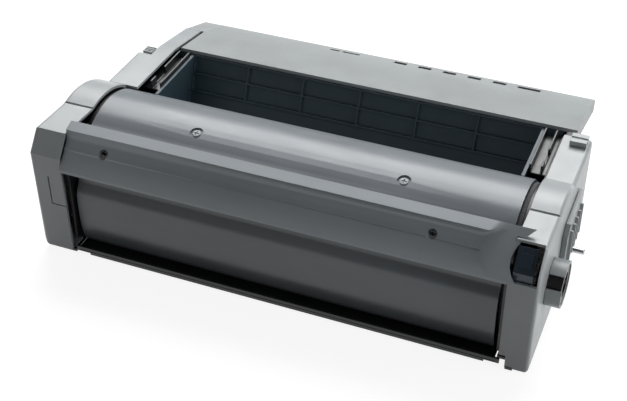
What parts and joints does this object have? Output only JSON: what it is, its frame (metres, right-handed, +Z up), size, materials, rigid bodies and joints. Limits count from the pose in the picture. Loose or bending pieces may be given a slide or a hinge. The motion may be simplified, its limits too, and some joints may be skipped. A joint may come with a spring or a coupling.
{
  "type": "toner cartridge",
  "caption": "All-in-one laser printer cartridge: grey end covers with a coupling on one, a round toner hopper under a hollow grip, and a dark waste box behind the drum.",
  "frame": {"origin": "on the surface that the cartridge stands on, under the middle of its overall box", "axes": "+X along the cartridge towards the side with the drive coupling, +Y from the grip to the back, +Z up"},
  "size_m": [0.3358, 0.215, 0.0935],
  "materials": {
    "barrel_grey": "satin moulded ABS, mid grey",
    "blade_rubber": "polyurethane",
    "chip_blue": "solder-masked circuit board carrier",
    "contact_metal": "gold flashed contacts",
    "cover_grey": "satin moulded ABS, light grey",
    "drum_coat": "aluminium tube with a glossy organic photoconductor coat",
    "foam_grey": "cellular foam",
    "frame_black": "black moulded ABS",
    "gear_white": "natural acetal",
    "rubber_black": "conductive rubber, ground",
    "steel": "drawn or ground steel",
    "waste_blue_black": "blue-black moulded polystyrene"
  },
  "bodies": {
    "housing": {"blade_bracket": "steel", "charge_bearing_left": "gear_white", "charge_bearing_right": "gear_white", "charge_spring_left": "steel", "charge_spring_right": "steel", "chip_holder": "chip_blue", "cleaning_blade": "blade_rubber", "coupling_collar": "cover_grey", "developer_cap": "frame_black", "front_crossbar": "frame_black", "front_grip": "cover_grey", "front_rail": "cover_grey", "grip_screw_left": "steel", "grip_screw_right": "steel", "hopper_cover": "barrel_grey", "hopper_cover_screw_left": "cover_grey", "hopper_cover_screw_right": "cover_grey", "hopper_seal_left": "foam_grey", "hopper_seal_right": "foam_grey", "hopper_tub": "frame_black", "idler_stud": "steel", "left_end_cover": "cover_grey", "left_guide_rail": "cover_grey", "left_side_cover": "cover_grey", "left_side_frame": "frame_black", "memory_chip": "contact_metal", "metering_blade": "steel", "rear_cover": "cover_grey", "recovery_seal": "rubber_black", "right_end_cover": "cover_grey", "right_guide_rail": "cover_grey", "right_side_frame": "frame_black", "side_clip": "cover_grey", "side_gear_cover": "cover_grey", "toner_plug": "gear_white", "top_latch": "cover_grey", "waste_housing": "waste_blue_black", "waste_idler_stud": "steel"},
    "drum": {"drum": "drum_coat", "drum_flange": "gear_white", "drum_gear": "gear_white", "drum_shaft": "steel"},
    "developer": {"developer_roller": "rubber_black", "developer_shaft": "steel", "developer_gear": "gear_white"},
    "supply": {"supply_roller": "foam_grey", "supply_shaft": "steel", "supply_gear": "gear_white"},
    "upper_agitator": {"upper_agitator": "frame_black", "upper_agitator_gear": "gear_white"},
    "lower_agitator": {"lower_agitator": "frame_black", "lower_agitator_gear": "gear_white"},
    "charge_roller": {"charge_roller": "rubber_black", "charge_shaft": "steel"},
    "waste_auger": {"waste_auger": "gear_white", "auger_gear": "gear_white"},
    "drive": {"drive_coupling": "frame_black", "drive_gear": "gear_white"},
    "idler": {"idler_gear": "gear_white"},
    "waste_idler": {"waste_idler_gear": "gear_white"}
  },
  "joints": [
    {"name": "drum_turn", "type": "hinge", "parent": "housing", "child": "drum", "pos_m": [0.1434, -0.0045, 0.0195], "axis": [1, 0, 0], "continuous": true},
    {"name": "developer_turn", "type": "hinge", "parent": "housing", "child": "developer", "pos_m": [0.1434, -0.02892, 0.01749], "axis": [1, 0, 0], "continuous": true},
    {"name": "supply_turn", "type": "hinge", "parent": "housing", "child": "supply", "pos_m": [0.1434, -0.04585, 0.01897], "axis": [1, 0, 0], "continuous": true},
    {"name": "upper_agitator_turn", "type": "hinge", "parent": "housing", "child": "upper_agitator", "pos_m": [0.1434, -0.05268, 0.05458], "axis": [1, 0, 0], "continuous": true},
    {"name": "lower_agitator_turn", "type": "hinge", "parent": "housing", "child": "lower_agitator", "pos_m": [0.1434, -0.0738, 0.02679], "axis": [1, 0, 0], "continuous": true},
    {"name": "charge_roller_turn", "type": "hinge", "parent": "housing", "child": "charge_roller", "pos_m": [-0.00505, 0.01395, 0.03015], "axis": [1, 0, 0], "continuous": true},
    {"name": "waste_auger_turn", "type": "hinge", "parent": "housing", "child": "waste_auger", "pos_m": [0.1434, 0.0215, 0.0135], "axis": [1, 0, 0], "continuous": true},
    {"name": "drive_turn", "type": "hinge", "parent": "housing", "child": "drive", "pos_m": [0.1434, -0.0705, 0.0455], "axis": [1, 0, 0], "continuous": true},
    {"name": "idler_turn", "type": "hinge", "parent": "housing", "child": "idler", "pos_m": [0.1434, -0.0553, 0.0325], "axis": [1, 0, 0], "continuous": true},
    {"name": "waste_idler_turn", "type": "hinge", "parent": "housing", "child": "waste_idler", "pos_m": [0.1434, 0.01635, 0.02652], "axis": [1, 0, 0], "continuous": true}
  ],
  "couplings": [
    {"joint": "developer_turn", "follows": "drum_turn", "ratio": -1.3333},
    {"joint": "supply_turn", "follows": "drum_turn", "ratio": 2.1538},
    {"joint": "idler_turn", "follows": "drum_turn", "ratio": -1.4},
    {"joint": "drive_turn", "follows": "drum_turn", "ratio": 1.4},
    {"joint": "upper_agitator_turn", "follows": "drum_turn", "ratio": -1.4},
    {"joint": "lower_agitator_turn", "follows": "drum_turn", "ratio": -1.5556},
    {"joint": "waste_idler_turn", "follows": "drum_turn", "ratio": -1.75},
    {"joint": "waste_auger_turn", "follows": "drum_turn", "ratio": 2.3333},
    {"joint": "charge_roller_turn", "follows": "drum_turn", "ratio": -2.5}
  ]
}
